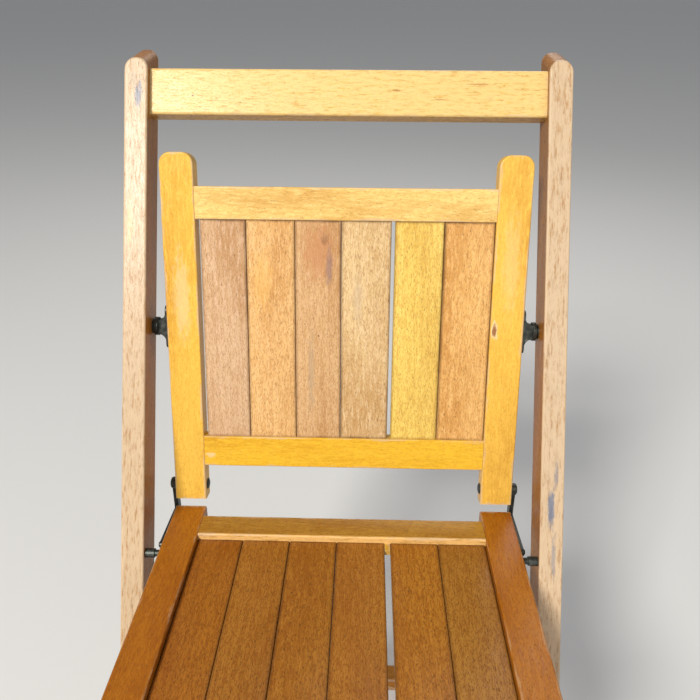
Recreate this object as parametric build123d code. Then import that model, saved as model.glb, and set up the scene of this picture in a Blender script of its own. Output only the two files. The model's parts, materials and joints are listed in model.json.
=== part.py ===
"""Folding slat chair in varnished hardwood, drawn open and ready to sit on.

Millimetres, +Z up, the sitter faces -Y. The long posts are both back uprights and front legs. The slat
back rocks on them, the seat flips up in front of it, and slotted stays draw the rear legs in.
"""
from build123d import *
from math import cos, radians, sin
import os

# Angles, in degrees
POST_LEAN = 27.46          # posts from the vertical
SEAT_SLOPE = 3.0           # seat, higher in front
PANEL_OPEN = 12.41         # back panel from the posts, open
LEG_OPEN = 58.0            # rear legs from the posts, open
SEAT_TURN = 90 + POST_LEAN - SEAT_SLOPE    # seat, from open to folded

# Pivots: distance down the post from the panel pivot, and forward of the post's middle
PANEL_PIVOT_HEIGHT = 590.0
PANEL_PIVOT = (0.0, -8.5)
SEAT_PIVOT = (208.8, 10.0)
LEG_PIVOT = (298.0, -6.0)

# Posts and crest rail
OUTER_HALF = 200.0
POST_WIDTH, POST_DEPTH = 20.9, 34.6
POST_TOP_FRONT, POST_TOP_REAR, POST_TOP_ROUND = 239.2, 260.4, 9.2
POST_INNER = OUTER_HALF - POST_WIDTH
CREST_MIDDLE, CREST_HEIGHT, CREST_DEPTH = 212.6, 41.6, 19.6
STRETCHER_DOWN, STRETCHER_HEIGHT, STRETCHER_DEPTH = 560.0, 36.0, 11.0

# Back panel
PANEL_HALF, STILE_WIDTH, STILE_DEPTH = 164.4, 30.3, 17.0
STILE_ABOVE, STILE_BELOW, STILE_TOP_ROUND = 157.4, 171.5, 10.5
OPENING_HALF = PANEL_HALF - STILE_WIDTH
TOP_RAIL = (99.6, 128.4)
BOTTOM_RAIL = (-136.0, -106.0)
STRAP_PIVOT_BELOW = 158.6
BACK_SLATS = [41.2, 43.7, 41.7, 44.7, 43.7, 44.7]
BACK_GAPS = [3.5, 0.3, 0.3, 0.3, 3.2, 0.3]
SLAT_DEPTH, SLAT_TENON = 9.0, 8.0

# Seat, measured from its pivot
SEAT_DEPTH, SEAT_THICK, SEAT_BEHIND = 348.0, 19.0, 57.0
REAR_RAIL_INSET, REAR_RAIL_WIDTH, FRONT_RAIL_WIDTH = 14.2, 27.0, 30.0
SEAT_SLATS = [41.8, 43.5, 43.4, 44.4, 43.9, 43.8]
SEAT_GAPS = [0.3, 0.3, 0.3, 0.3, 5.4, 0.3]
SEAT_SLAT_RECESS, SEAT_SLAT_THICK = 6.1, 9.0

# Rear legs and stays
LEG_WIDTH, LEG_DEPTH = 20.0, 26.0
LEG_OUTER = POST_INNER - 1.6
LEG_INNER = LEG_OUTER - LEG_WIDTH
LEG_STRETCHERS = (225.0, 335.0)
STAY_SEAT_RADIUS, STAY_SEAT_ANGLE = 54.0, -94.0
STAY_THICK, STAY_WIDTH = 3.0, 12.0

# Steelwork
PIN_RADIUS, SMALL_PIN_RADIUS, RUNNING = 3.0, 2.5, 0.05
STRAP_THICK, STRAP_WIDTH, STRAP_TIP_WIDTH = 4.0, 8.4, 7.0
STRAP_X = PANEL_HALF + 0.3
LOWER_PIN_RADIUS = 2.0
# Play at the two pivots that close the linkage: forward and down from the pin's open place
STRAP_POCKET = (2.4, 0.93, 4.9)
EAR_SLOT_LENGTH, EAR_SLOT_HALF = 7.2, 4.1
EDGE = 1.6

shapes = {}


def inside_plane(degrees, radius=1.0):
    """Step measured down the post and forward of it, at an angle turned forward from straight down."""
    return radius * cos(radians(degrees)), radius * sin(radians(degrees))


def dot(first, second):
    return first[0] * second[0] + first[1] * second[1]


def away(first, second):
    return first[0] - second[0], first[1] - second[1]


def equal_reach(pivot, start, end, target_start, target_end):
    """Arm length at which a rigid link from the arm's tip to the target fits both open and folded."""
    to_start, to_end = away(target_start, pivot), away(target_end, pivot)
    spread = dot(to_end, to_end) - dot(to_start, to_start)
    return spread / (2 * (dot(end, to_end) - dot(start, to_start)))


def rod(x_low, x_high, radius, y=0.0, z=0.0):
    """Solid round bar along X."""
    return Pos((x_low + x_high) / 2, y, z) * Rot(0, 90, 0) * Cylinder(radius, x_high - x_low)


def slab(x_low, x_high, y_low, y_high, z_low, z_high):
    size = (x_high - x_low, y_high - y_low, z_high - z_low)
    centre = ((x_low + x_high) / 2, (y_low + y_high) / 2, (z_low + z_high) / 2)
    return Pos(*centre) * Box(*size)


def eased(block, axis, radius=EDGE):
    """Block with the edges along one axis rounded over."""
    return fillet(block.edges().filter_by(axis), radius)


def both(shape):
    return Compound(children=[solid for part in (shape, mirror(shape, about=Plane.YZ))
                              for solid in part.solids()])


def bar(first, second, width, thick=STRAP_THICK):
    """Flat bar with rounded ends between two points given as back and up."""
    (y0, z0), (y1, z1) = first, second
    line = Vector(0, y1 - y0, z1 - z0)
    middle = Pos(0, (y0 + y1) / 2, (z0 + z1) / 2)
    turn = Rot(Vector(0, 1, 0).get_signed_angle(line, Vector(1, 0, 0)), 0, 0)
    body = middle * turn * Box(thick, line.length, width)
    body += rod(-thick / 2, thick / 2, width / 2, y0, z0)
    return body + rod(-thick / 2, thick / 2, width / 2, y1, z1)


def rivet_head(x, radius, height, outward=1):
    """Low domed head standing on the face at x."""
    head = Cone(radius, radius * 0.62, height, align=(Align.CENTER, Align.CENTER, Align.MIN))
    return Pos(x, 0, 0) * Rot(0, 90 * outward, 0) * head


def keep(name, frame, shape):
    shapes[name] = frame * shape


def keep_pair(name, frame, shape):
    keep("right_" + name, frame, shape)
    keep("left_" + name, frame, mirror(shape, about=Plane.YZ))


# Frames: local Z runs up each member and local -Y faces forward
posts = Pos(0, 0, PANEL_PIVOT_HEIGHT) * Rot(-POST_LEAN, 0, 0)


def on_post(point, turn):
    return posts * Pos(0, -point[1], -point[0]) * Rot(turn, 0, 0)


panel = on_post(PANEL_PIVOT, PANEL_OPEN)
seat = on_post(SEAT_PIVOT, POST_LEAN - SEAT_SLOPE)
legs = on_post(LEG_PIVOT, LEG_OPEN)

# Strap: its seat pivot lies behind the seat pivot, where the link fits both open and folded
strap_top_open = (STRAP_PIVOT_BELOW * cos(radians(PANEL_OPEN)),
                  PANEL_PIVOT[1] - STRAP_PIVOT_BELOW * sin(radians(PANEL_OPEN)))
strap_top_folded = (STRAP_PIVOT_BELOW, PANEL_PIVOT[1])
strap_arm = equal_reach(SEAT_PIVOT, inside_plane(-SEAT_TURN), inside_plane(0), strap_top_open,
                        strap_top_folded)

# Stay: its leg pivot lies down the leg, where the link fits both open and folded
stay_top = {}
for state, turned in (("open", 0.0), ("folded", SEAT_TURN)):
    reach = inside_plane(STAY_SEAT_ANGLE + turned, STAY_SEAT_RADIUS)
    stay_top[state] = (SEAT_PIVOT[0] + reach[0], SEAT_PIVOT[1] + reach[1])
stay_arm = equal_reach(LEG_PIVOT, inside_plane(-LEG_OPEN), inside_plane(0), stay_top["open"],
                       stay_top["folded"])
stay_reach = inside_plane(-LEG_OPEN, stay_arm)
stay_foot = (LEG_PIVOT[0] + stay_reach[0], LEG_PIVOT[1] + stay_reach[1])

# Places of the link pivots in the frames of the pieces that carry them
strap_top_in_seat = (seat.inverse() * panel * Pos(0, 0, -STRAP_PIVOT_BELOW)).position
stay_top_in_seat = (seat.inverse() * on_post(stay_top["open"], 0)).position

floor_cut = Pos(0, 0, -200) * Box(2000, 2000, 400)

# ---- Frame: posts, crest rail, front stretcher and the pins fixed in the posts
side = Polyline((-POST_DEPTH / 2, -720), (-POST_DEPTH / 2, POST_TOP_FRONT), (POST_DEPTH / 2, POST_TOP_REAR),
                (POST_DEPTH / 2, -720), close=True)
post = Pos(POST_INNER, 0, 0) * extrude(Plane.YZ * make_face(side), POST_WIDTH)
top_edges = post.faces().sort_by(Axis.Z)[-1].edges()
post = fillet([edge for edge in top_edges if abs(edge.tangent_at(0.5).X) < 0.5], POST_TOP_ROUND)
post = fillet([edge for edge in post.edges() if abs(edge.tangent_at(0.5).X) < 0.9 and
               edge.bounding_box().size.Y < 1e-3 and edge.center().Z > -700 or
               edge.geom_type != GeomType.LINE], 1.6)
for down, forward in (PANEL_PIVOT, SEAT_PIVOT, LEG_PIVOT):
    post -= rod(POST_INNER - 5, OUTER_HALF + 5, PIN_RADIUS, -forward, -down)
dowels = [rod(POST_INNER - 22, POST_INNER + 12, 4.5, 0, CREST_MIDDLE + lift) for lift in (-9.5, 9.5)]
screw_spots = [(POST_INNER + POST_WIDTH / 2, -STRETCHER_DOWN + lift) for lift in (-9, 9)]
stretcher_face = -POST_DEPTH / 2 - STRETCHER_DEPTH


def stretcher_screw(x, z):
    shank = Pos(x, 0, z) * Rot(90, 0, 0) * Cylinder(1.8, 24, align=(Align.CENTER, Align.CENTER, Align.MIN))
    head = Pos(x, 0, z) * Rot(90, 0, 0) * Cone(1.8, 3.6, 3, align=(Align.CENTER, Align.CENTER, Align.MIN))
    return Pos(0, stretcher_face + 24, 0) * shank + Pos(0, stretcher_face + 3, 0) * head


screws = [stretcher_screw(x, z) for x, z in screw_spots]
for solid in dowels + screws:
    post -= solid
crest = slab(-POST_INNER, POST_INNER, -CREST_DEPTH / 2, CREST_DEPTH / 2,
             CREST_MIDDLE - CREST_HEIGHT / 2, CREST_MIDDLE + CREST_HEIGHT / 2)
crest = eased(crest, Axis.X, 2.4)
stretcher = slab(-OUTER_HALF, OUTER_HALF, stretcher_face, -POST_DEPTH / 2,
                 -STRETCHER_DOWN - STRETCHER_HEIGHT / 2, -STRETCHER_DOWN + STRETCHER_HEIGHT / 2)
stretcher = eased(stretcher, Axis.X)
for solid in dowels:
    crest = crest - solid - mirror(solid, about=Plane.YZ)
for solid in screws:
    stretcher = stretcher - solid - mirror(solid, about=Plane.YZ)
keep_pair("post", posts, post)
shapes["right_post"] = shapes["right_post"] - floor_cut
shapes["left_post"] = shapes["left_post"] - floor_cut
keep("crest_rail", posts, crest)
keep("crest_rail_dowels", posts, both(Compound(children=dowels)))
keep("front_stretcher", posts, stretcher)
keep("front_stretcher_screws", posts, both(Compound(children=screws)))


def pivot_pin(inner_x, point):
    """Pin fixed in the post, headed outside, with the moving piece on its inner end."""
    pin = rod(inner_x, OUTER_HALF, PIN_RADIUS) + rivet_head(OUTER_HALF, 5.5, 1.0)
    return Pos(0, -point[1], -point[0]) * pin


def ring(x_low, x_high, radius, bore=PIN_RADIUS):
    return rod(x_low, x_high, radius) - rod(x_low - 1, x_high + 1, bore)


stile_blind, rail_blind = PANEL_HALF - 13, PANEL_HALF - 20
keep("back_pivot_pins", posts, both(pivot_pin(stile_blind, PANEL_PIVOT)))
keep("seat_pivot_pins", posts, both(pivot_pin(rail_blind, SEAT_PIVOT)))
keep("leg_pivot_pins", posts, both(pivot_pin(LEG_INNER, LEG_PIVOT)))
washer_spot = Pos(0, -PANEL_PIVOT[1], 0)
keep("back_pivot_washers", posts, both(washer_spot * ring(POST_INNER - 1.0, POST_INNER, 6.8)))
keep("back_pivot_sleeves", posts, both(washer_spot * ring(PANEL_HALF + 12.6, POST_INNER - 1.0, 5.6)))
seat_spot = Pos(0, -SEAT_PIVOT[1], -SEAT_PIVOT[0])
keep("seat_pivot_sleeves", posts, both(seat_spot * ring(STRAP_X + STRAP_THICK + 1.8, POST_INNER, 4.2)))
leg_spot = Pos(0, -LEG_PIVOT[1], -LEG_PIVOT[0])
keep("leg_pivot_washers", posts, both(leg_spot * ring(LEG_OUTER + 0.2, POST_INNER, 9.0)))

# ---- Back panel
stile = slab(OPENING_HALF, PANEL_HALF, -STILE_DEPTH / 2, STILE_DEPTH / 2, -STILE_BELOW, STILE_ABOVE)
stile = fillet(stile.faces().sort_by(Axis.Z)[-1].edges().filter_by(Axis.Y), STILE_TOP_ROUND)
stile = fillet([edge for edge in stile.edges().filter_by(Axis.Y, reverse=True)
                if edge.center().Z > -STILE_BELOW + 1], EDGE)
stile -= rod(stile_blind - 0.4, PANEL_HALF + 5, PIN_RADIUS + RUNNING)
stile -= rod(OPENING_HALF - 5, PANEL_HALF + 5, SMALL_PIN_RADIUS, 0, -STRAP_PIVOT_BELOW)


def panel_rail(low, high):
    rail = slab(-OPENING_HALF, OPENING_HALF, -STILE_DEPTH / 2, STILE_DEPTH / 2 - 2, low, high)
    rail = eased(rail, Axis.X, 1.2)
    return rail + slab(-OPENING_HALF - 14, OPENING_HALF + 14, -4, 4, low + 5, high - 5)


def slat_edges(widths, gaps):
    """Left and right edge of each slat, from the left side of the opening."""
    edges, left = [], -OPENING_HALF
    for width, gap in zip(widths, gaps):
        left += gap
        edges.append((left, left + width))
        left += width
    return edges


top_rail, bottom_rail = panel_rail(*TOP_RAIL), panel_rail(*BOTTOM_RAIL)
stile -= top_rail + bottom_rail
back_front = -STILE_DEPTH / 2 + 2.2
for number, (left, right) in enumerate(slat_edges(BACK_SLATS, BACK_GAPS), 1):
    slat = slab(left, right, back_front, back_front + SLAT_DEPTH, BOTTOM_RAIL[1], TOP_RAIL[0])
    slat = eased(slat, Axis.Z, 0.7)
    slat += slab(left + 3, right - 3, back_front + 2, back_front + SLAT_DEPTH - 2,
                 BOTTOM_RAIL[1] - SLAT_TENON, TOP_RAIL[0] + SLAT_TENON)
    top_rail, bottom_rail = top_rail - slat, bottom_rail - slat
    keep(f"back_slat_{number}", panel, slat)
keep("panel_top_rail", panel, top_rail)
keep("panel_bottom_rail", panel, bottom_rail)

# Pressed plate: a tall foot on the stile's edge, flaring in to a round boss
plate_foot = slab(PANEL_HALF, PANEL_HALF + 1.8, -7, 7, -20, 20)
plate_foot = eased(plate_foot, Axis.X, 5.0)
flare_side = [(1.8, 12.6), (3.2, 9.6), (5.4, 7.4), (9.2, 6.2)]
flare = Polyline(*[(PANEL_HALF + out, up) for out, up in flare_side],
                 *[(PANEL_HALF + out, -up) for out, up in reversed(flare_side)], close=True)
flare = extrude(Plane.XZ * make_face(flare), 5.6, both=True)
boss = rod(PANEL_HALF + 9.2, PANEL_HALF + 12.4, 8.6)
plate_screws = [Pos(PANEL_HALF + 1.8, 0, z) * (
    rivet_head(0, 2.8, 1.0) + rod(-12, 0, 1.5)) for z in (-16.2, 16.2)]
plate = plate_foot + flare + boss - rod(PANEL_HALF - 5, PANEL_HALF + 20, PIN_RADIUS + RUNNING)
for screw in plate_screws:
    plate, stile = plate - screw, stile - screw
keep_pair("stile", panel, stile)
keep_pair("pivot_plate", panel, plate)
keep("pivot_plate_screws", panel, both(Compound(children=plate_screws)))
head_x = STRAP_X + STRAP_THICK + 0.3
strap_rivet = rod(OPENING_HALF, head_x, SMALL_PIN_RADIUS) + rivet_head(head_x, 5.5, 2.0)
strap_rivet += rivet_head(OPENING_HALF, 5.5, 2.0, -1)
keep("strap_rivets", panel, both(Pos(0, 0, -STRAP_PIVOT_BELOW) * strap_rivet))

# ---- Seat, in a frame whose origin is the seat pivot
half_thick = SEAT_THICK / 2
rail = slab(OPENING_HALF, PANEL_HALF, SEAT_BEHIND - SEAT_DEPTH, SEAT_BEHIND, -half_thick, half_thick)
rail = eased(rail, Axis.Y)
rail -= rod(rail_blind - 0.4, PANEL_HALF + 5, PIN_RADIUS + RUNNING)
rail -= rod(PANEL_HALF - 13, PANEL_HALF + 5, STRAP_POCKET[2], strap_arm - STRAP_POCKET[0], -STRAP_POCKET[1])


def cross_rail(low, high):
    board = slab(-OPENING_HALF, OPENING_HALF, low, high, -half_thick, half_thick)
    board = eased(board, Axis.X, 1.2)
    return board + slab(-OPENING_HALF - 10, OPENING_HALF + 10, low + 6, high - 6, -4, 4)


rear_edge = SEAT_BEHIND - REAR_RAIL_INSET - REAR_RAIL_WIDTH
front_edge = SEAT_BEHIND - SEAT_DEPTH + FRONT_RAIL_WIDTH
rear_rail = cross_rail(rear_edge, rear_edge + REAR_RAIL_WIDTH)
front_rail = cross_rail(front_edge - FRONT_RAIL_WIDTH, front_edge)
rail -= rear_rail + front_rail
slat_top = half_thick - SEAT_SLAT_RECESS
seat_edges = slat_edges(SEAT_SLATS, SEAT_GAPS)
for number, (left, right) in enumerate(seat_edges, 1):
    slat = slab(left, right, front_edge, rear_edge, slat_top - SEAT_SLAT_THICK, slat_top)
    slat = eased(slat, Axis.Y, 0.7)
    slat += slab(left + 3, right - 3, front_edge - SLAT_TENON, rear_edge + SLAT_TENON,
                 slat_top - SEAT_SLAT_THICK + 2.5, slat_top - 2.5)
    rear_rail, front_rail = rear_rail - slat, front_rail - slat
    keep(f"seat_slat_{number}", seat, slat)
wedge = slab(seat_edges[3][1] + 0.2, seat_edges[4][0] - 0.2, rear_edge - 9, rear_edge,
             slat_top - 6, slat_top - 1)
keep("seat_gap_wedge", seat, wedge)
keep("seat_rear_rail", seat, rear_rail)
keep("seat_front_rail", seat, front_rail)

# Bracket under the seat rail, with an ear that carries the stay
ear_outer = LEG_INNER - 0.6 - STAY_THICK - 0.4
ear_inner = ear_outer - 2.5
stay_y, stay_z = stay_top_in_seat.Y, stay_top_in_seat.Z
bracket = slab(OPENING_HALF + 2, ear_outer, stay_y - 34, stay_y + 4, -half_thick - 2, -half_thick)
slot_line = ((stay_y - EAR_SLOT_LENGTH, stay_z + 0.5), (stay_y, stay_z + 0.5))
ear_middle = Pos((ear_inner + ear_outer) / 2, 0, 0)
ear = slab(ear_inner, ear_outer, stay_y - 12, stay_y + 5, stay_z, -half_thick)
ear += ear_middle * bar(*slot_line, 2 * EAR_SLOT_HALF + 5.6, 2.5)
bracket_screws = [Pos(OPENING_HALF + 8, stay_y + back, -half_thick - 2) * (
    Cone(1.6, 3.0, 1.2, align=(Align.CENTER, Align.CENTER, Align.MAX)) + Cylinder(
        1.6, 7, align=(Align.CENTER, Align.CENTER, Align.MIN))) for back in (-27, -6)]
bracket = bracket + ear - ear_middle * bar(*slot_line, 2 * EAR_SLOT_HALF, 10)
for screw in bracket_screws:
    bracket, rail = bracket - screw, rail - screw
keep_pair("seat_rail", seat, rail)
keep("stay_brackets", seat, both(bracket))
keep("stay_bracket_screws", seat, both(Compound(children=bracket_screws)))

# ---- Straps: a long arm back along the seat rail, then a short one up to the stile
corner = (SEAT_BEHIND + 12.5, -3.5)
top = (strap_top_in_seat.Y, strap_top_in_seat.Z)


strap = bar((strap_arm, 0), corner, STRAP_TIP_WIDTH) + bar(corner, top, STRAP_WIDTH)
strap += rod(-STRAP_THICK / 2, STRAP_THICK / 2, 5.8, *top)
strap -= rod(-5, 5, LOWER_PIN_RADIUS, strap_arm)
strap -= rod(-5, 5, SMALL_PIN_RADIUS + RUNNING, *top)
strap_outer = STRAP_X + STRAP_THICK
strap_pin = rod(PANEL_HALF - 12, strap_outer, LOWER_PIN_RADIUS) + rivet_head(strap_outer, 3.4, 1.2)
keep("strap_lower_pins", seat, both(Pos(0, strap_arm, 0) * strap_pin))
keep("back_straps", seat, both(Pos(STRAP_X + STRAP_THICK / 2, 0, 0) * strap))

# ---- Rear legs, in a frame whose origin is their pivot
leg = slab(LEG_INNER, LEG_OUTER, -LEG_DEPTH / 2, LEG_DEPTH / 2, -460, 0)
leg = eased(leg, Axis.Z, 2.0) + rod(LEG_INNER, LEG_OUTER, LEG_DEPTH / 2)
leg -= rod(LEG_INNER - 5, LEG_OUTER + 5, PIN_RADIUS + RUNNING)
leg -= rod(LEG_INNER - 5, LEG_INNER + 14, PIN_RADIUS, 0, -stay_arm)
for number, down in enumerate(LEG_STRETCHERS):
    board = eased(slab(-LEG_INNER, LEG_INNER, -8, 8, -down - 15, -down + 15), Axis.X)
    board += slab(-LEG_INNER - 12, LEG_INNER + 12, -4, 4, -down - 10, -down + 10)
    leg -= board
    keep(("upper", "lower")[number] + "_rear_stretcher", legs, board)
keep_pair("rear_leg", legs, leg)
shapes["right_rear_leg"] = shapes["right_rear_leg"] - floor_cut
shapes["left_rear_leg"] = shapes["left_rear_leg"] - floor_cut
stay_inner = LEG_INNER - 0.6 - STAY_THICK
leg_rivet = rod(stay_inner - 0.2, LEG_INNER + 14, PIN_RADIUS) + rivet_head(stay_inner - 0.2, 6.0, 2.0, -1)
keep("stay_leg_rivets", legs, both(Pos(0, 0, -stay_arm) * leg_rivet))

# ---- Stays: flat steel links, each carrying the pin that runs in its bracket's slot
foot_frame = on_post(stay_foot, 0)
rise = away(stay_foot, stay_top["open"])
tip = (rise[1], rise[0])
stay = bar((0, 0), tip, STAY_WIDTH, STAY_THICK) - rod(-5, 5, PIN_RADIUS + RUNNING) - rod(-5, 5, SMALL_PIN_RADIUS, *tip)
stay_outer = stay_inner + STAY_THICK
stay_pin = rod(ear_inner - 0.4, stay_outer, SMALL_PIN_RADIUS) + rivet_head(ear_inner - 0.4, 5.2, 1.8, -1)
stay_pin += rivet_head(stay_outer, 5.0, 1.6)
keep("stay_top_pins", foot_frame, both(Pos(0, *tip) * stay_pin))
keep("leg_stays", foot_frame, both(Pos(stay_inner + STAY_THICK / 2, 0, 0) * stay))

# ---- Stand the chair centred over the origin and write one file for each piece
whole = Compound(children=[solid for shape in shapes.values() for solid in shape.solids()]).bounding_box()
centred = Pos(0, -(whole.min.Y + whole.max.Y) / 2, 0)
os.makedirs("parts", exist_ok=True)
for name, shape in shapes.items():
    solids = (centred * shape).solids()
    export_step(solids[0] if len(solids) == 1 else Compound(children=solids), f"parts/{name}.step")
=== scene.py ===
"""Folding slat chair: worn varnish, slats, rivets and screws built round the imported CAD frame."""
import json
from math import cos, radians, sin

import bpy
from bpy.props import FloatProperty, FloatVectorProperty, PointerProperty
from mathutils import Euler, Matrix, Vector


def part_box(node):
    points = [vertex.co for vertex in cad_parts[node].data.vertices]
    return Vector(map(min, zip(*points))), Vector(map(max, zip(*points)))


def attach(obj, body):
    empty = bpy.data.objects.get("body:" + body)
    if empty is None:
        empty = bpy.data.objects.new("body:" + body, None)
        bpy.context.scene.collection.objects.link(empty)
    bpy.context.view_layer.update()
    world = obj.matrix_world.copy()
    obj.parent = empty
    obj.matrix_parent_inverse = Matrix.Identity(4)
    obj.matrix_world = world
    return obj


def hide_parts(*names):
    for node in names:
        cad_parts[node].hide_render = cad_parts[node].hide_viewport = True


bl_info = {
    "name": "Folding Slat Chair",
    "version": (1, 0, 0),
    "blender": (4, 5, 0),
    "location": "3D View > Sidebar > Chair",
    "description": "Builds the slats, hardware and finishes of a hardwood folding chair",
    "category": "Object",
}

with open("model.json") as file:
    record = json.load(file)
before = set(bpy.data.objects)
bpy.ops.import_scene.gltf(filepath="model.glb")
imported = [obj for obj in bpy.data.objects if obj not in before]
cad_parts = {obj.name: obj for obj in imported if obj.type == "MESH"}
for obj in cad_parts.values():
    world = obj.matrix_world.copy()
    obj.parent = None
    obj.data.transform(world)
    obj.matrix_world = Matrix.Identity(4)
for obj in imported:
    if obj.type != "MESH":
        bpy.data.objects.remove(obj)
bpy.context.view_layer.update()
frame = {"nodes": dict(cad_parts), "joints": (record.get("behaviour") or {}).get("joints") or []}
NODES = frame["nodes"]
HINGES = {joint["name"]: joint for joint in frame["joints"]}
SLATS = range(1, 7)
TOUCH = 1e-5

# How far each body is turned from upright about X, and which way its pieces run
POST_LEAN, PANEL_LEAN = radians(-27.46), radians(-15.05)
SEAT_LEAN, LEG_LEAN = radians(-3.0), radians(30.54)
RUNS_UP = Matrix.Identity(3)
RUNS_ACROSS = Matrix.Rotation(radians(-90), 3, "Y")
RUNS_BACK = Matrix.Rotation(radians(90), 3, "X")

# Slats: the width that one is drawn at, its CAD tenon, and half its seen length in the back and seat
SLAT_WIDTH, SLAT_TENON = 0.043, 0.008
BACK_SLAT_HALF, SEAT_SLAT_HALF = 0.1028, 0.1384

# Streaks in the wood: how close across and along the grain, then detail and roughness
STREAKS = {
    "wander": (14.0, 2.2, 3.0, 0.5),
    "broad": (22.0, 5.5, 4.0, 0.6),
    "fine": (560.0, 80.0, 3.0, 0.6),
    "flecks": (1250.0, 400.0, 2.0, 0.55),
    "pores": (1700.0, 340.0, 1.0, 0.4),
    "scratches": (90.0, 900.0, 2.0, 0.5),
    "worn edge": (190.0, 26.0, 5.0, 0.7),
    "rubbed": (420.0, 70.0, 5.0, 0.75),
    "grey": (700.0, 110.0, 4.0, 0.7),
    "mark edge": (420.0, 130.0, 5.0, 0.72),
}
RING_SCALE, RING_DISTORTION = 52.0, 9.0
VARNISH_SPECULAR, VARNISH_COAT, COAT_ROUGHNESS = 0.24, 0.07, 0.25
METALLIC = 0.85
RUST, RUBBED_STEEL = (0.16, 0.065, 0.025), (0.42, 0.44, 0.42)

# Stage: the camera's origin beside the panel's hinge, where it stands from there, and its turn
CAMERA_ORIGIN = Vector((0, -0.00754, 0.00392))
CAMERA_STAND = Vector((0.0187, -0.5740, 0.2943))
CAMERA_YAW, CAMERA_PITCH, CAMERA_ROLL = radians(-1.33), radians(28.88), radians(0.26)
CAMERA_LENS = 36.0
FLOOR_HALF, FLOOR_ROUGHNESS = 30.0, 0.7
SKY, SKY_STRENGTH = (0.86, 0.88, 0.92, 1.0), 0.36
LAMP_AIM = Vector((0, 0.05, 0.5))
# name: place, size, watts, tint
LAMPS = {
    "key": ((-1.8, -3.2, 3.6), 1.2, 272, (1.0, 0.97, 0.90)),
    "fill": ((1.4, -2.2, 1.5), 1.8, 16, (0.95, 0.97, 1.0)),
    "back": ((0.5, 2.0, 2.2), 1.4, 14, (1.0, 0.98, 0.95)),
}

# ------------------------------------------------------------------ settings


class ChairSizes(bpy.types.PropertyGroup):
    """Sizes of the pieces that are built here."""
    slat_edge: FloatProperty(name="Slat edge", description="Rounding of a slat's long edges",
                             default=0.0011, unit="LENGTH")
    slat_bite: FloatProperty(name="Slat bite", description="How far a slat runs into each rail",
                             default=0.0015, unit="LENGTH")
    screw_slot: FloatProperty(name="Screw slot", description="Width of a screw's driving slot",
                              default=0.0009, unit="LENGTH")
    wear_reach: FloatProperty(name="Wear reach", description="How far wear spreads in from an edge",
                              default=0.0032, unit="LENGTH")


class ChairColours(bpy.types.PropertyGroup):
    """Colours of the finishes."""
    # Bare wood is also the colour of the painted light on the posts' front faces.
    bare_and_front_lit: FloatVectorProperty(name="Bare wood", description="Wood where the varnish is gone",
                              default=(0.57, 0.42, 0.27), subtype="COLOR")
    # The pore colour is also the colour of the painted shade along the slats' seams.
    pore_dirt_and_seam_shade: FloatVectorProperty(name="Pores", description="Dirt in the pores and scratches",
                              default=(0.055, 0.022, 0.008), subtype="COLOR")
    steel: FloatVectorProperty(name="Blackened steel", description="Plates, straps and brackets",
                               default=(0.045, 0.05, 0.045), subtype="COLOR")
    rivet: FloatVectorProperty(name="Rivet steel", description="Pins, rivets, washers and screws",
                               default=(0.22, 0.215, 0.20), subtype="COLOR")
    floor: FloatVectorProperty(name="Floor", description="Plain pale floor",
                               default=(0.66, 0.655, 0.645), subtype="COLOR")


def corners(points):
    """Low and high corners of the box round some points."""
    return (Vector([min(point[i] for point in points) for i in range(3)]),
            Vector([max(point[i] for point in points) for i in range(3)]))


def sizes():
    return bpy.context.scene.chair_sizes


def colours():
    return bpy.context.scene.chair_colours


# ------------------------------------------------------------------ node helpers


def add(tree, kind, settings=None, **inputs):
    """Node with its settings and inputs, by name or i0, i1, as values or other nodes' sockets."""
    node = tree.nodes.new(kind)
    for name, value in (settings or {}).items():
        setattr(node, name, value)
    for name, value in inputs.items():
        numbered = name[0] == "i" and name[1:].isdigit()
        socket = node.inputs[int(name[1:]) if numbered else name.replace("_", " ")]
        if isinstance(value, bpy.types.NodeSocket):
            tree.links.new(value, socket)
        else:
            socket.default_value = value
    return node


def maths(tree, operation, first, second=0.0, third=0.0):
    node = add(tree, "ShaderNodeMath", {"operation": operation}, i0=first, i1=second, i2=third)
    return node.outputs[0]


def blend_colour(tree, amount, first, second, kind="MIX"):
    node = tree.nodes.new("ShaderNodeMix")
    node.data_type, node.blend_type = "RGBA", kind
    for socket, value in ((node.inputs[0], amount), (node.inputs[6], first), (node.inputs[7], second)):
        if isinstance(value, bpy.types.NodeSocket):
            tree.links.new(value, socket)
        else:
            socket.default_value = value if isinstance(value, float) else (*value, 1.0)[:4]
    return node.outputs[2]


def spread(tree, value, low, high, to_low=0.0, to_high=1.0):
    """Smooth step from one range to another."""
    node = add(tree, "ShaderNodeMapRange", {"interpolation_type": "SMOOTHSTEP"}, Value=value,
               From_Min=low, From_Max=high, To_Min=to_low, To_Max=to_high)
    return node.outputs[0]


def stretched_noise(tree, place, kind):
    """Noise in long streaks that follow the grain, one of the kinds in STREAKS."""
    across, along, detail, rough = STREAKS[kind]
    squeeze = add(tree, "ShaderNodeVectorMath", {"operation": "MULTIPLY"}, i0=place,
                  i1=(across, across, along))
    noise = add(tree, "ShaderNodeTexNoise", Vector=squeeze.outputs[0], Scale=1.0, Detail=detail,
                Roughness=rough)
    return noise.outputs["Fac"]


def new_material(name):
    material = bpy.data.materials.new(name)
    material.use_nodes = True
    tree = material.node_tree
    shader = tree.nodes["Principled BSDF"]
    return material, tree, shader


# ------------------------------------------------------------------ wood


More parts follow.
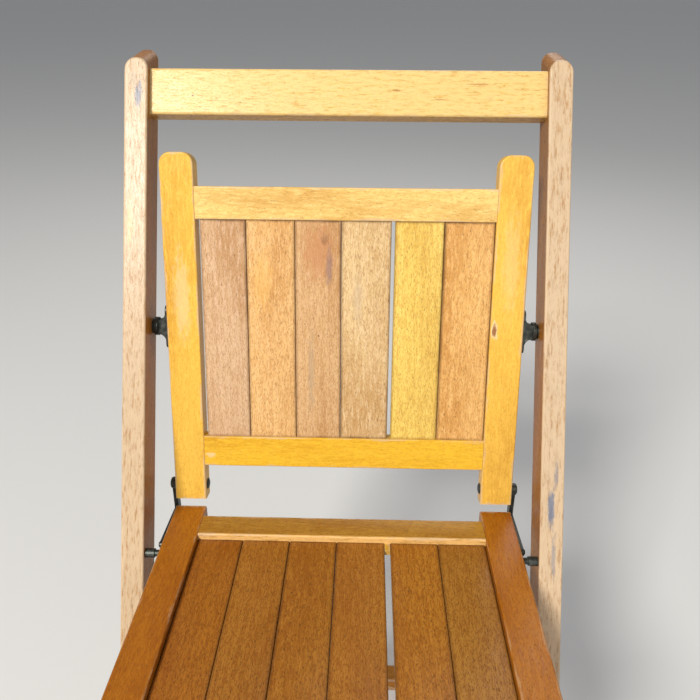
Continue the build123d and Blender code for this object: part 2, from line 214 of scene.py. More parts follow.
def patch(tree, place, colour, spot):
    """Mark on the wood: an uneven oval at a place across and along the piece."""
    (x, z), (wide, tall), tint, strength = spot
    shifted = add(tree, "ShaderNodeVectorMath", {"operation": "SUBTRACT"}, i0=place, i1=(x, 0.0, z))
    scaled = add(tree, "ShaderNodeVectorMath", {"operation": "MULTIPLY"}, i0=shifted.outputs[0],
                 i1=(1.0 / wide, 0.0, 1.0 / tall))
    length = add(tree, "ShaderNodeVectorMath", {"operation": "LENGTH"}, i0=scaled.outputs[0])
    ragged = stretched_noise(tree, place, "mark edge")
    edge = maths(tree, "MULTIPLY_ADD", ragged, 2.0, length.outputs["Value"])
    amount = spread(tree, edge, 1.35, 1.95, strength, 0.0)
    return blend_colour(tree, amount, colour, tint)


def wood(name, tones, place_from, half=None, front_lit_and_bare=0.0, lit_faded=None, wear=0.5, streak=1.0,
         gloss=0.3, spots=(), seams=None, seed=0.0):
    """Varnished wood with rings, flecks, pores and worn edges.

    place_from(tree) gives the place in the piece, across, through and along the grain, the place that
    the marks are laid out in, and a tint or None. seams is half a board's width and length, where
    painted shade darkens the board along its edges and ends.
    """
    material, tree, shader = new_material(name)
    place, marks_place, tint = place_from(tree)
    moved = add(tree, "ShaderNodeVectorMath", i0=place,
                i1=(0.31 * seed, 0.17 * seed, 0.73 * seed)).outputs[0]
    wander = stretched_noise(tree, moved, "wander")
    shift = add(tree, "ShaderNodeVectorMath", {"operation": "SCALE"}, i0=(0.030, 0.012, 0.0),
                Scale=wander)
    bent = add(tree, "ShaderNodeVectorMath", i0=moved, i1=shift.outputs[0]).outputs[0]
    squeezed = add(tree, "ShaderNodeVectorMath", {"operation": "MULTIPLY"}, i0=bent,
                   i1=(1.0, 1.0, 0.18))
    rings = add(tree, "ShaderNodeTexWave", {"wave_type": "RINGS", "rings_direction": "Z",
                                            "wave_profile": "SIN"},
                Vector=squeezed.outputs[0], Scale=RING_SCALE, Distortion=RING_DISTORTION,
                Detail=2.0, Detail_Scale=12.0).outputs["Fac"]
    fine = stretched_noise(tree, bent, "fine")
    broad = stretched_noise(tree, moved, "broad")
    flecks = stretched_noise(tree, moved, "flecks")
    pores = stretched_noise(tree, bent, "pores")
    scratch = stretched_noise(tree, moved, "scratches")
    dark, middle, light = tones
    colour = blend_colour(tree, spread(tree, broad, 0.28, 0.62, 0.22), dark, middle)
    colour = blend_colour(tree, spread(tree, fine, 0.42, 0.70, 0.0, 0.7), colour, light)
    ring_amount = spread(tree, rings, 0.45, 0.98, 0.0, 0.42 * streak)
    colour = blend_colour(tree, ring_amount, colour, dark)
    if tint is not None:
        colour = blend_colour(tree, 1.0, colour, tint, "MULTIPLY")
    fleck_amount = spread(tree, flecks, 0.51, 0.66, 0.0, 0.38 * streak)
    colour = blend_colour(tree, fleck_amount, colour, blend_colour(tree, 0.45, dark, colours().pore_dirt_and_seam_shade))
    pore_amount = spread(tree, pores, 0.62, 0.76, 0.0, 0.45 * streak)
    colour = blend_colour(tree, pore_amount, colour, colours().pore_dirt_and_seam_shade)
    colour = blend_colour(tree, spread(tree, scratch, 0.70, 0.80, 0.0, 0.35 * wear), colour,
                          colours().bare_and_front_lit)
    worn = None
    if half:
        axes = add(tree, "ShaderNodeSeparateXYZ", Vector=place).outputs
        reach = [maths(tree, "SUBTRACT", half[i], maths(tree, "ABSOLUTE", axes[i])) for i in range(3)]
        near = maths(tree, "MAXIMUM", reach[0], reach[1])
        end = maths(tree, "MAXIMUM", reach[2], maths(tree, "MINIMUM", reach[0], reach[1]))
        near = maths(tree, "MINIMUM", near, end)
        ragged = stretched_noise(tree, moved, "worn edge")
        limit = maths(tree, "MULTIPLY", spread(tree, ragged, 0.38, 0.72), sizes().wear_reach)
        worn = spread(tree, maths(tree, "SUBTRACT", near, limit), -0.0006, 0.0006, wear, 0.0)
        # Painted light: the front face, turned towards the lamp in front, is painted paler, broken up
        # by rubbed wear and greying.
        if front_lit_and_bare:
            face = spread(tree, maths(tree, "ADD", axes[1], half[1]), 0.0012, 0.0026, 1.0, 0.0)
            rubbed = spread(tree, stretched_noise(tree, moved, "rubbed"), 0.34, 0.52, 0.35)
            grey = spread(tree, stretched_noise(tree, moved, "grey"), 0.50, 0.72, 0.0, 0.6)
            lit_faded = lit_faded or tuple(colours().bare_and_front_lit)
            bare_and_front_lit = blend_colour(tree, grey, lit_faded, tuple(channel * 0.6 for channel in lit_faded))
            lit_bare_amount = maths(tree, "MULTIPLY", maths(tree, "MULTIPLY", face, rubbed), front_lit_and_bare)
            colour = blend_colour(tree, lit_bare_amount, colour, bare_and_front_lit)
        colour = blend_colour(tree, worn, colour, colours().bare_and_front_lit)
    for spot in spots:
        colour = patch(tree, marks_place, colour, spot)
    # Painted shade: each slat is darkened along its long edges and ends, where boards meet each other
    # and the rails, in the pore colour.
    if seams:
        grain = add(tree, "ShaderNodeAttribute", {"attribute_name": "grain"}).outputs["Vector"]
        board = add(tree, "ShaderNodeSeparateXYZ", Vector=grain).outputs
        side = maths(tree, "SUBTRACT", seams[0], maths(tree, "ABSOLUTE", board[0]))
        end = maths(tree, "SUBTRACT", seams[1], maths(tree, "ABSOLUTE", board[2]))
        seam_shade = spread(tree, maths(tree, "MINIMUM", side, end), 0.0003, 0.0030, 0.8, 0.0)
        seam_shade = maths(tree, "MULTIPLY", seam_shade, spread(tree, broad, 0.2, 0.55, 1.0, 0.45))
        colour = blend_colour(tree, seam_shade, colour, colours().pore_dirt_and_seam_shade)
    tree.links.new(colour, shader.inputs["Base Color"])
    rough = spread(tree, fine, 0.3, 0.8, gloss, gloss + 0.18)
    if worn is not None:
        rough = maths(tree, "MULTIPLY_ADD", worn, 0.25, rough)
    tree.links.new(rough, shader.inputs["Roughness"])
    shader.inputs["Specular IOR Level"].default_value = VARNISH_SPECULAR
    shader.inputs["Coat Weight"].default_value = VARNISH_COAT
    shader.inputs["Coat Roughness"].default_value = COAT_ROUGHNESS
    height = maths(tree, "MULTIPLY_ADD", pore_amount, -1.0, maths(tree, "MULTIPLY", fine, 0.45))
    bump = add(tree, "ShaderNodeBump", Strength=0.5, Distance=0.0005, Height=height)
    tree.links.new(bump.outputs[0], shader.inputs["Normal"])
    return material


def piece_place(node, lean, run):
    """Where a CAD piece lies along its own length, width and depth, and half its size each way."""
    turn = run @ Matrix.Rotation(-lean, 3, "X")
    low, high = corners([turn @ vertex.co for vertex in NODES[node].data.vertices])
    middle = (low + high) / 2

    def place_from(tree):
        source = add(tree, "ShaderNodeTexCoord").outputs["Object"]
        mapping = add(tree, "ShaderNodeMapping", Vector=source, Location=-middle,
                      Rotation=turn.to_euler())
        return mapping.outputs[0], mapping.outputs[0], None

    return place_from, tuple((high - low) / 2)


def dress(node, material):
    """Put one material in every slot of a CAD piece."""
    slots = NODES[node].data.materials
    for index in range(len(slots)):
        slots[index] = material
    if not len(slots):
        slots.append(material)


def tone(red, green, blue):
    """Dark, middle and light of one varnished wood, the darks redder and deeper."""
    return ((red * 0.66, green * 0.50, blue * 0.34), (red, green, blue),
            (min(red * 1.10, 0.9), green * 1.11, blue * 1.25))


HONEY, GOLD, AMBER = tone(0.77, 0.455, 0.065), tone(0.78, 0.53, 0.17), tone(0.76, 0.44, 0.03)
BACK_TONE, PALE, ORANGE = tone(0.72, 0.44, 0.18), tone(0.60, 0.35, 0.040), tone(0.56, 0.25, 0.045)
SEAT_TONE, RAIL_TONE = tone(0.36, 0.142, 0.017), tone(0.39, 0.135, 0.006)
# The posts' tone is darkened part way to the painted shade on their inner faces; the front stretcher
# and rear legs share it.
REAR_RAIL_TONE, POST_TONE_WITH_SHADE = tone(0.42, 0.215, 0.028), tone(0.35, 0.150, 0.024)
BLUE, BLEACH = (0.10, 0.14, 0.22), (0.74, 0.52, 0.26)
SHADE, SCRATCH = (0.10, 0.035, 0.01), (0.40, 0.20, 0.06)

# node: lean, run, tones, then what differs from plain varnish.
# Each of the spots is (across, along), half size each way, tint and strength.
# The front-face option paints the front faces of the posts, crest rail and rear seat rail paler:
# painted light with rubbed wear.
WOODWORK = {
    "left_post": (POST_LEAN, RUNS_UP, POST_TONE_WITH_SHADE, dict(front_lit_and_bare=0.92, wear=0.85, streak=1.4, spots=(
        ((0.002, 0.415), (0.0045, 0.016), BLUE, 0.75),
        ((-0.002, 0.428), (0.006, 0.008), (0.36, 0.27, 0.17), 0.6),
        ((-0.004, 0.30), (0.004, 0.03), BLEACH, 0.5)))),
    "right_post": (POST_LEAN, RUNS_UP, POST_TONE_WITH_SHADE, dict(front_lit_and_bare=0.95, wear=0.9, streak=1.5, spots=(
        ((-0.001, 0.048), (0.0042, 0.022), BLUE, 0.8), ((0.003, 0.078), (0.003, 0.016), BLUE, 0.5),
        ((0.002, 0.005), (0.0025, 0.03), BLUE, 0.45)))),
    "crest_rail": (POST_LEAN, RUNS_ACROSS, PALE, dict(
        front_lit_and_bare=1.0, lit_faded=(0.72, 0.50, 0.19), wear=0.35, streak=1.9, gloss=0.26, spots=(
        ((-0.008, 0.120), (0.0012, 0.016), SCRATCH, 0.8),
        ((0.006, 0.085), (0.0010, 0.012), SCRATCH, 0.7),
        ((-0.002, 0.045), (0.0011, 0.008), (0.36, 0.17, 0.05), 0.8),
        ((0.004, -0.140), (0.0012, 0.0012), SHADE, 0.9)))),
    "front_stretcher": (POST_LEAN, RUNS_ACROSS, POST_TONE_WITH_SHADE, dict(wear=0.8)),
    "left_stile": (PANEL_LEAN, RUNS_UP, HONEY, dict(wear=0.6, streak=0.55, spots=(
        ((0.0, 0.035), (0.010, 0.055), BLEACH, 0.55),))),
    "right_stile": (PANEL_LEAN, RUNS_UP, HONEY, dict(wear=0.55, streak=0.55, spots=(
        ((-0.0115, 0.009), (0.0042, 0.0105), (0.80, 0.62, 0.36), 0.9),
        ((-0.0115, 0.009), (0.0027, 0.0075), (0.26, 0.10, 0.035), 0.95),
        ((0.0, 0.07), (0.011, 0.06), BLEACH, 0.3)))),
    "panel_top_rail": (PANEL_LEAN, RUNS_ACROSS, GOLD, dict(wear=0.5, streak=0.75)),
    "panel_bottom_rail": (PANEL_LEAN, RUNS_ACROSS, AMBER, dict(
        wear=0.5, streak=0.55, gloss=0.24, spots=(
            ((0.004, -0.128), (0.004, 0.006), BLEACH, 0.8),))),
    "left_seat_rail": (SEAT_LEAN, RUNS_BACK, RAIL_TONE, dict(wear=0.3, gloss=0.26)),
    "right_seat_rail": (SEAT_LEAN, RUNS_BACK, RAIL_TONE, dict(wear=0.3, gloss=0.26)),
    "seat_rear_rail": (SEAT_LEAN, RUNS_ACROSS, REAR_RAIL_TONE, dict(
        front_lit_and_bare=0.9, lit_faded=(0.80, 0.48, 0.17), wear=0.5, gloss=0.26)),
    "seat_front_rail": (SEAT_LEAN, RUNS_ACROSS, ORANGE, dict(wear=0.7, gloss=0.28)),
    "seat_gap_wedge": (SEAT_LEAN, RUNS_BACK, PALE, dict(wear=0.5)),
    "left_rear_leg": (LEG_LEAN, RUNS_UP, POST_TONE_WITH_SHADE, dict(wear=0.7)),
    "right_rear_leg": (LEG_LEAN, RUNS_UP, POST_TONE_WITH_SHADE, dict(wear=0.7)),
    "upper_rear_stretcher": (LEG_LEAN, RUNS_ACROSS, ORANGE, dict(wear=0.6)),
    "lower_rear_stretcher": (LEG_LEAN, RUNS_ACROSS, ORANGE, dict(wear=0.6)),
    "crest_rail_dowels": (POST_LEAN, RUNS_ACROSS, PALE, dict(wear=0.2)),
}


class CHAIR_OT_woodwork(bpy.types.Operator):
    """Give every wooden CAD piece its own varnished wood"""
    bl_idname = "chair.woodwork"
    bl_label = "Woodwork"

    def execute(self, context):
        for number, (node, (lean, run, tones, extras)) in enumerate(WOODWORK.items(), 1):
            place_from, half = piece_place(node, lean, run)
            dress(node, wood(f"wood_{node}", tones, place_from, half, seed=number * 1.7, **extras))
        return {"FINISHED"}


# ------------------------------------------------------------------ geometry helpers


def points_object(name, places, **attributes):
    """Loose vertices for a tree to build on, with named numbers or directions on them."""
    mesh = bpy.data.meshes.new(name)
    mesh.from_pydata([tuple(place) for place in places], [], [])
    for key, values in attributes.items():
        is_vector = hasattr(values[0], "__len__")
        layer = mesh.attributes.new(key, "FLOAT_VECTOR" if is_vector else "FLOAT", "POINT")
        for item, value in zip(layer.data, values):
            if is_vector:
                item.vector = value
            else:
                item.value = value
    thing = bpy.data.objects.new(name, mesh)
    bpy.context.collection.objects.link(thing)
    return thing


def new_tree(name, **inputs):
    """Geometry Nodes tree with the wanted inputs, each given as its socket kind."""
    tree = bpy.data.node_groups.new(name, "GeometryNodeTree")
    face = tree.interface
    face.new_socket("Geometry", in_out="INPUT", socket_type="NodeSocketGeometry")
    for key, kind in inputs.items():
        face.new_socket(key.replace("_", " "), in_out="INPUT", socket_type="NodeSocket" + kind)
    face.new_socket("Geometry", in_out="OUTPUT", socket_type="NodeSocketGeometry")
    return tree, tree.nodes.new("NodeGroupInput").outputs, tree.nodes.new("NodeGroupOutput")


def named(tree, key, kind="FLOAT"):
    node = add(tree, "GeometryNodeInputNamedAttribute", {"data_type": kind}, Name=key)
    return node.outputs["Attribute"]


def built(thing, tree, body, slot, replaced, **values):
    """Run the tree on the points, keep the result as a plain mesh and hang it on its body."""
    modifier = thing.modifiers.new("Build", "NODES")
    modifier.node_group = tree
    for item in tree.interface.items_tree:
        if item.in_out == "INPUT" and item.name.replace(" ", "_") in values:
            modifier[item.identifier] = values[item.name.replace(" ", "_")]
    graph = bpy.context.evaluated_depsgraph_get()
    mesh = bpy.data.meshes.new_from_object(thing.evaluated_get(graph), depsgraph=graph)
    thing.modifiers.remove(modifier)
    thing.data = mesh
    if not len(mesh.polygons):
        raise RuntimeError(f"{thing.name} came out empty")
    mesh.shade_smooth()
    mesh.set_sharp_from_angle(angle=radians(32))
    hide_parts(*replaced)
    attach(thing, body)
    return thing


def finish_tree(tree, geometry, material, output):
    real = add(tree, "GeometryNodeRealizeInstances", Geometry=geometry)
    coated = add(tree, "GeometryNodeSetMaterial", Geometry=real.outputs[0], Material=material)
    tree.links.new(coated.outputs[0], output.inputs[0])


# ------------------------------------------------------------------ slats


def slat_tree():
    """Row of boards with eased edges, one on each point, as wide as the point's span says."""
    tree, given, output = new_tree("Slat row", Length="Float", Depth="Float", Edge="Float",
                                   Turn="Rotation", Wood="Material")
    half = maths(tree, "MULTIPLY", given["Length"], 0.5)
    start = add(tree, "ShaderNodeCombineXYZ", Z=maths(tree, "MULTIPLY", half, -1.0))
    end = add(tree, "ShaderNodeCombineXYZ", Z=half)
    line = add(tree, "GeometryNodeCurvePrimitiveLine", Start=start.outputs[0], End=end.outputs[0])
    section = add(tree, "GeometryNodeCurvePrimitiveQuadrilateral", Width=SLAT_WIDTH,
                  Height=given["Depth"])
    eased = add(tree, "GeometryNodeFilletCurve", {"mode": "POLY"}, Curve=section.outputs[0],
                Radius=given["Edge"], Count=4)
    board = add(tree, "GeometryNodeCurveToMesh", Curve=line.outputs[0], Profile_Curve=eased.outputs[0],
                Fill_Caps=True)
    where = add(tree, "GeometryNodeInputPosition").outputs[0]
    marked = add(tree, "GeometryNodeStoreNamedAttribute",
                 {"data_type": "FLOAT_VECTOR", "domain": "POINT"},
                 Geometry=board.outputs[0], Name="grain", Value=where)
    wider = maths(tree, "DIVIDE", named(tree, "span"), SLAT_WIDTH)
    scale = add(tree, "ShaderNodeCombineXYZ", X=wider, Y=1.0, Z=1.0)
    placed = add(tree, "GeometryNodeInstanceOnPoints", Points=given["Geometry"],
                 Instance=marked.outputs[0], Rotation=given["Turn"], Scale=scale.outputs[0])
    numbered = add(tree, "GeometryNodeStoreNamedAttribute",
                   {"data_type": "FLOAT", "domain": "INSTANCE"},
                   Geometry=placed.outputs[0], Name="board", Value=named(tree, "board"))
    finish_tree(tree, numbered.outputs[0], given["Wood"], output)
    return tree


def slat_place(lean, run, tints):
    """Place for slats: grain from each board, marks from the whole row, a tint for each board."""
    def place_from(tree):
        board = add(tree, "ShaderNodeAttribute", {"attribute_name": "board"}).outputs["Fac"]
        grain = add(tree, "ShaderNodeAttribute", {"attribute_name": "grain"}).outputs["Vector"]
        offset = add(tree, "ShaderNodeVectorMath", {"operation": "SCALE"}, i0=(0.41, 0.23, 0.67),
                     Scale=board)
        place = add(tree, "ShaderNodeVectorMath", i0=grain, i1=offset.outputs[0]).outputs[0]
        turn = run @ Matrix.Rotation(-lean, 3, "X")
        source = add(tree, "ShaderNodeTexCoord").outputs["Object"]
        whole = add(tree, "ShaderNodeMapping", Vector=source, Rotation=turn.to_euler())
        ramp = tree.nodes.new("ShaderNodeValToRGB")
        ramp.color_ramp.interpolation = "CONSTANT"
        stops = ramp.color_ramp.elements
        while len(stops) < len(tints):
            stops.new(0.5)
        for index, tint in enumerate(tints):
            stops[index].position = max(index - 0.5, 0.0) / len(tints)
            stops[index].color = (*tint, 1.0)
        share = maths(tree, "MULTIPLY", board, 1.0 / len(tints))
        tree.links.new(share, ramp.inputs[0])
        return place, whole.outputs[0], ramp.outputs[0]
    return place_from


BACK_TINTS = ((0.85, 0.92, 1.30), (1.0, 1.0, 1.0), (0.84, 0.86, 1.02), (0.92, 1.07, 1.32),
              (1.05, 1.19, 0.66), (1.01, 0.97, 0.79))
SEAT_TINTS = ((0.95, 0.87, 0.65), (0.93, 0.95, 1.0), (0.97, 1.0, 1.0), (1.0, 1.04, 1.25),
              (1.08, 1.12, 1.1), (0.93, 1.05, 1.3))


def slat_row(name, stem, body, slot, lean, turn, tree, material):
    """Slats in place of the CAD ones, each as wide as its node, running just into both rails."""
    inverse = Matrix.Rotation(-lean, 3, "X")
    centres, spans, extents = [], [], []
    for number in SLATS:
        vertices = NODES[f"{stem}_{number}"].data.vertices
        low, high = corners([inverse @ vertex.co for vertex in vertices])
        centres.append(inverse.inverted() @ ((low + high) / 2))
        spans.append(high.x - low.x)
        extents.append(high - low)
    along = max(extents[0].y, extents[0].z) - 2 * SLAT_TENON + 2 * sizes().slat_bite
    depth = min(extents[0].y, extents[0].z)
    row = points_object(name, centres, span=spans, board=[number - 1.0 for number in SLATS])
    return built(row, tree, body, slot, [f"{stem}_{number}" for number in SLATS], Length=along,
                 Depth=depth, Edge=sizes().slat_edge, Turn=Euler(turn), Wood=material)


class CHAIR_OT_slats(bpy.types.Operator):
    """Build the slats of the back and the seat"""
    bl_idname = "chair.slats"
    bl_label = "Slats"

    def execute(self, context):
        tree = slat_tree()
        low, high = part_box("panel_bottom_rail")
        rail = (Vector(low) + Vector(high)) / 2
        height = (Matrix.Rotation(-PANEL_LEAN, 3, "X") @ rail).z
        back_spots = (
            ((-0.024, height + 0.192), (0.022, 0.034), (0.46, 0.20, 0.085), 0.62),
            ((-0.014, height + 0.178), (0.0045, 0.026), (0.22, 0.14, 0.14), 0.6),
            ((-0.018, height + 0.204), (0.005, 0.007), (0.20, 0.085, 0.04), 0.5),
            ((-0.031, height + 0.080), (0.004, 0.050), (0.40, 0.28, 0.17), 0.6),
            ((-0.024, height + 0.115), (0.0011, 0.0013), SHADE, 0.95),
            ((-0.075, height + 0.165), (0.012, 0.035), (0.80, 0.47, 0.13), 0.35),
            ((0.012, height + 0.150), (0.007, 0.030), (0.48, 0.36, 0.24), 0.45),
        )
        back = wood("wood_back_slats", BACK_TONE, slat_place(PANEL_LEAN, RUNS_UP, BACK_TINTS),
                    wear=0.5, streak=1.1, gloss=0.28, spots=back_spots,
                    seams=(SLAT_WIDTH / 2, BACK_SLAT_HALF), seed=3.1)
        seat = wood("wood_seat_slats", SEAT_TONE, slat_place(SEAT_LEAN, RUNS_UP, SEAT_TINTS),
                    wear=0.25, streak=1.6, gloss=0.24, seams=(SLAT_WIDTH / 2, SEAT_SLAT_HALF), seed=8.3)
        slat_row("back_slats", "back_slat", "back_panel", "panel_wood", PANEL_LEAN,
                 (PANEL_LEAN, 0, 0), tree, back)
        slat_row("seat_slats", "seat_slat", "seat", "seat_wood", SEAT_LEAN,
                 (SEAT_LEAN + radians(90), 0, 0), tree, seat)
        return {"FINISHED"}


# ------------------------------------------------------------------ steelwork


def metal(name, colour, rough, rust, edge):
    """Old steel: mottled, lightly rusted, and rubbed brighter in places."""
    material, tree, shader = new_material(name)
    place = add(tree, "ShaderNodeTexCoord").outputs["Object"]
    mottle = add(tree, "ShaderNodeTexNoise", Vector=place, Scale=240.0, Detail=5.0, Roughness=0.65)
    specks = add(tree, "ShaderNodeTexNoise", Vector=place, Scale=900.0, Detail=3.0, Roughness=0.6)
    face = blend_colour(tree, spread(tree, mottle.outputs["Fac"], 0.35, 0.7), colour,
                        tuple(channel * 1.9 for channel in colour))
    face = blend_colour(tree, spread(tree, specks.outputs["Fac"], 0.55, 0.75, 0.0, rust), face, RUST)
    face = blend_colour(tree, spread(tree, mottle.outputs["Fac"], 0.60, 0.75, 0.0, edge), face,
                        RUBBED_STEEL)
    tree.links.new(face, shader.inputs["Base Color"])
    tree.links.new(spread(tree, mottle.outputs["Fac"], 0.3, 0.7, rough, rough + 0.2),
                   shader.inputs["Roughness"])
    shader.inputs["Metallic"].default_value = METALLIC
    bump = add(tree, "ShaderNodeBump", Strength=0.25, Distance=0.0003, Height=specks.outputs["Fac"])
    tree.links.new(bump.outputs[0], shader.inputs["Normal"])
    return material


def pin_tree():
    """Round pin along X on each point, as long as its reach says, with a low dome at each end."""
    tree, given, output = new_tree("Pin row", Shank="Float", Head="Float", Rise="Float",
                                   Steel="Material")
    shank = add(tree, "GeometryNodeMeshCylinder", Vertices=28, Radius=given["Shank"], Depth=1.0)
    lie = add(tree, "FunctionNodeEulerToRotation", Euler=(0.0, radians(90), 0.0)).outputs[0]
    reach = named(tree, "reach")
    stretch = add(tree, "ShaderNodeCombineXYZ", X=1.0, Y=1.0, Z=reach).outputs[0]
    shanks = add(tree, "GeometryNodeInstanceOnPoints", Points=given["Geometry"],
                 Instance=shank.outputs[0], Rotation=lie, Scale=stretch)
    ball = add(tree, "GeometryNodeMeshUVSphere", Segments=32, Rings=16, Radius=1.0)
    size = add(tree, "ShaderNodeCombineXYZ", X=given["Rise"], Y=given["Head"], Z=given["Head"])
    joined = add(tree, "GeometryNodeJoinGeometry")
    tree.links.new(shanks.outputs[0], joined.inputs[0])
    for side in (-0.5, 0.5):
        shift = add(tree, "ShaderNodeCombineXYZ", X=maths(tree, "MULTIPLY", reach, side)).outputs[0]
        ends = add(tree, "GeometryNodeSetPosition", Geometry=given["Geometry"], Offset=shift)
        domes = add(tree, "GeometryNodeInstanceOnPoints", Points=ends.outputs[0],
                    Instance=ball.outputs[0], Scale=size.outputs[0])
        tree.links.new(domes.outputs[0], joined.inputs[0])
    finish_tree(tree, joined.outputs[0], given["Steel"], output)
    return tree


def screw_tree():
    """Slotted domed screw head on each point, turned to face the point's way."""
    tree, given, output = new_tree("Screw row", Head="Float", Rise="Float", Slot="Float",
                                   Steel="Material")
    ball = add(tree, "GeometryNodeMeshUVSphere", Segments=28, Rings=14, Radius=1.0)
    squash = add(tree, "ShaderNodeCombineXYZ", X=given["Head"], Y=given["Head"], Z=given["Rise"])
    dome = add(tree, "GeometryNodeTransform", Geometry=ball.outputs[0], Scale=squash.outputs[0])
    wide = maths(tree, "MULTIPLY", given["Head"], 3.0)
    size = add(tree, "ShaderNodeCombineXYZ", X=wide, Y=given["Slot"], Z=given["Rise"])
    block = add(tree, "GeometryNodeMeshCube", Size=size.outputs[0])
    lift = add(tree, "ShaderNodeCombineXYZ", Z=given["Rise"]).outputs[0]
    raised = add(tree, "GeometryNodeTransform", Geometry=block.outputs[0], Translation=lift)
    cut = add(tree, "GeometryNodeMeshBoolean", {"operation": "DIFFERENCE"})
    tree.links.new(dome.outputs[0], cut.inputs["Mesh 1"])
    tree.links.new(raised.outputs[0], cut.inputs["Mesh 2"])
    facing = named(tree, "facing", "FLOAT_VECTOR")
    aim = add(tree, "FunctionNodeAlignRotationToVector", {"axis": "Z"}, Vector=facing)
    placed = add(tree, "GeometryNodeInstanceOnPoints", Points=given["Geometry"],
                 Instance=cut.outputs[0], Rotation=aim.outputs[0])
    finish_tree(tree, placed.outputs[0], given["Steel"], output)
    return tree


def loose_parts(node):
    """Low and high corners of each separate solid in a CAD node, told apart by where they lie."""
    mesh = NODES[node].data
    groups, first_at = {}, {}
    parent = list(range(len(mesh.vertices)))

    def root(index):
        while parent[index] != index:
            parent[index] = parent[parent[index]]
            index = parent[index]
        return index

    for vertex in mesh.vertices:
        spot = tuple(round(value, 5) for value in vertex.co)
        if spot in first_at:
            parent[root(vertex.index)] = root(first_at[spot])
        first_at.setdefault(spot, vertex.index)
    for edge in mesh.edges:
        parent[root(edge.vertices[0])] = root(edge.vertices[1])
    for vertex in mesh.vertices:
        groups.setdefault(root(vertex.index), []).append(vertex.co)
    return [corners(group) for group in groups.values()]


# node: body, shank radius, head radius, how far the CAD head stands proud
PINS = {
    "back_pivot_pins": ("frame", 0.003, 0.0055, 0.0010),
    "seat_pivot_pins": ("frame", 0.003, 0.0055, 0.0010),
    "leg_pivot_pins": ("frame", 0.003, 0.0055, 0.0010),
    "strap_rivets": ("back_panel", 0.0025, 0.0055, 0.0020),
    "stay_leg_rivets": ("rear_legs", 0.003, 0.0060, 0.0020),
    "stay_top_pins": ("stays", 0.0025, 0.0050, 0.0017),
}
# Pins whose shank runs on to the CAD pin's inner end, in the wood, where it has no head
HEADED_OUTSIDE = ("back_pivot_pins", "seat_pivot_pins")
# node: body, head radius, how high the head's dome is
SCREWS = {
    "pivot_plate_screws": ("back_panel", 0.0028, 0.0010),
    "stay_bracket_screws": ("seat", 0.0030, 0.0012),
    "front_stretcher_screws": ("frame", 0.0036, 0.0011),
}
DARK_NODES = ("left_pivot_plate", "right_pivot_plate", "back_straps", "stay_brackets",
              "back_pivot_washers", "back_pivot_sleeves", "seat_pivot_sleeves", "strap_lower_pins")
DARK_PINS = ("strap_rivets", "back_pivot_pins", "seat_pivot_pins")
BRIGHT_NODES = ("leg_pivot_washers", "leg_stays")


class CHAIR_OT_steelwork(bpy.types.Operator):
    """Finish the plates, straps, washers and stays"""
    bl_idname = "chair.steelwork"
    bl_label = "Steelwork"

    def execute(self, context):
        dark = metal("blackened_steel", tuple(colours().steel), 0.34, 0.25, 0.35)
        bright = metal("rivet_steel", tuple(colours().rivet), 0.30, 0.35, 0.6)
        for node in DARK_NODES:
            dress(node, dark)
        for node in BRIGHT_NODES:
            dress(node, bright)
        return {"FINISHED"}


class CHAIR_OT_pins(bpy.types.Operator):
    """Build the pins and rivets with domed heads"""
    bl_idname = "chair.pins"
    bl_label = "Pins and rivets"

    def execute(self, context):
        tree = pin_tree()
        steels = bpy.data.materials["rivet_steel"], bpy.data.materials["blackened_steel"]
        for node, (body, shank, head, proud) in PINS.items():
            parts = loose_parts(node)
            centres = [(low + high) / 2 for low, high in parts]
            reach = [high.x - low.x - 2 * proud for low, high in parts]
            if node in HEADED_OUTSIDE:
                inward = Vector((proud / 2, 0, 0))
                reach = [value + proud for value in reach]
                centres = [centre - inward * (1 if centre.x > 0 else -1) for centre in centres]
            row = points_object(node + "_domed", centres, reach=reach)
            built(row, tree, body, "pin_steel", [node], Shank=shank, Head=head, Rise=proud,
                  Steel=steels[node in DARK_PINS])
        return {"FINISHED"}


class CHAIR_OT_screws(bpy.types.Operator):
    """Build the slotted screw heads"""
    bl_idname = "chair.screws"
    bl_label = "Screws"

    def execute(self, context):
        tree, steel = screw_tree(), bpy.data.materials["rivet_steel"]
        under_seat = Matrix.Rotation(SEAT_LEAN, 3, "X") @ Vector((0, 0, -1))
        before_posts = Matrix.Rotation(POST_LEAN, 3, "X") @ Vector((0, -1, 0))
        outward = {
            "pivot_plate_screws": lambda side: Vector((side, 0, 0)),
            "stay_bracket_screws": lambda side: under_seat,
            "front_stretcher_screws": lambda side: before_posts,
        }
        for node, (body, head, rise) in SCREWS.items():
            places, facings = [], []
            for low, high in loose_parts(node):
                centre = (low + high) / 2
                facing = outward[node](1 if centre.x > 0 else -1)
                inside = [vertex.co for vertex in NODES[node].data.vertices
                          if all(low[i] - TOUCH <= vertex.co[i] <= high[i] + TOUCH for i in range(3))]
                farthest = max(point.dot(facing) for point in inside)
                top = centre + facing * (farthest - centre.dot(facing))
                places.append(top - facing * rise)
                facings.append(facing)
            row = points_object(node + "_slotted", places, facing=facings)
            built(row, tree, body, "pin_steel", [node], Head=head, Rise=rise, Slot=sizes().screw_slot,
                  Steel=steel)
        return {"FINISHED"}


# ------------------------------------------------------------------ stage


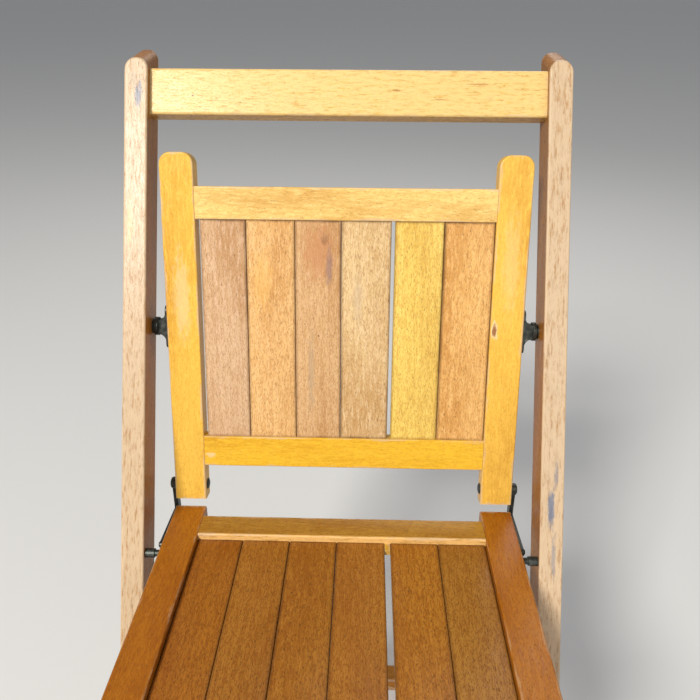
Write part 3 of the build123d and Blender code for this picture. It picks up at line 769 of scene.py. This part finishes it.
class CHAIR_OT_stage(bpy.types.Operator):
    """Lay a pale floor, light it softly and set the camera"""
    bl_idname = "chair.stage"
    bl_label = "Stage"

    def execute(self, context):
        scene = context.scene
        scene.view_settings.view_transform = "Standard"
        half = FLOOR_HALF
        mesh = bpy.data.meshes.new("floor")
        mesh.from_pydata([(-half, -half, 0), (half, -half, 0), (half, half, 0), (-half, half, 0)], [],
                         [(0, 1, 2, 3)])
        floor = bpy.data.objects.new("floor", mesh)
        scene.collection.objects.link(floor)
        material, _, shader = new_material("pale_floor")
        shader.inputs["Base Color"].default_value = (*colours().floor, 1.0)
        shader.inputs["Roughness"].default_value = FLOOR_ROUGHNESS
        mesh.materials.append(material)
        world = bpy.data.worlds.new("studio")
        scene.world = world
        world.use_nodes = True
        sky = world.node_tree.nodes["Background"].inputs
        sky["Color"].default_value, sky["Strength"].default_value = SKY, SKY_STRENGTH
        for name, (place, size, watts, tint) in LAMPS.items():
            light = bpy.data.lights.new(name, "AREA")
            light.shape, light.size, light.energy, light.color = "DISK", size, watts, tint
            lamp = bpy.data.objects.new(name, light)
            scene.collection.objects.link(lamp)
            lamp.location = place
            lamp.rotation_euler = (LAMP_AIM - Vector(place)).to_track_quat("-Z", "Y").to_euler()
        origin = Vector(HINGES["panel_tilt"]["pos_m"]) + CAMERA_ORIGIN
        yaw, pitch, roll = CAMERA_YAW, CAMERA_PITCH, CAMERA_ROLL
        forward = Vector((sin(yaw) * cos(pitch), cos(yaw) * cos(pitch), -sin(pitch)))
        level = Vector((cos(yaw), -sin(yaw), 0))
        down = forward.cross(level)
        right = level * cos(roll) - down * sin(roll)
        down = level * sin(roll) + down * cos(roll)
        camera = bpy.data.objects.new("camera", bpy.data.cameras.new("camera"))
        camera.data.sensor_width = camera.data.lens = CAMERA_LENS
        scene.collection.objects.link(camera)
        turn = Matrix((right, -down, -forward)).transposed()
        camera.matrix_world = Matrix.Translation(origin + CAMERA_STAND) @ turn.to_4x4()
        scene.camera = camera
        return {"FINISHED"}


class CHAIR_PT_build(bpy.types.Panel):
    bl_idname = "CHAIR_PT_build"
    bl_label = "Folding Slat Chair"
    bl_space_type = "VIEW_3D"
    bl_region_type = "UI"
    bl_category = "Chair"

    def draw(self, context):
        for group in (sizes(), colours()):
            for key in group.bl_rna.properties.keys():
                if key not in ("rna_type", "name"):
                    self.layout.prop(group, key)
        for operator in OPERATORS:
            self.layout.operator(operator.bl_idname)


OPERATORS = (CHAIR_OT_woodwork, CHAIR_OT_slats, CHAIR_OT_steelwork, CHAIR_OT_pins, CHAIR_OT_screws,
             CHAIR_OT_stage)
CLASSES = (ChairSizes, ChairColours, *OPERATORS, CHAIR_PT_build)


def register():
    for item in CLASSES:
        bpy.utils.register_class(item)
    bpy.types.Scene.chair_sizes = PointerProperty(type=ChairSizes)
    bpy.types.Scene.chair_colours = PointerProperty(type=ChairColours)


def unregister():
    del bpy.types.Scene.chair_colours
    del bpy.types.Scene.chair_sizes
    for item in reversed(CLASSES):
        bpy.utils.unregister_class(item)


def main():
    register()
    for operator in OPERATORS:
        getattr(bpy.ops.chair, operator.bl_idname.split(".")[1])()


if __name__ == "__main__":
    main()
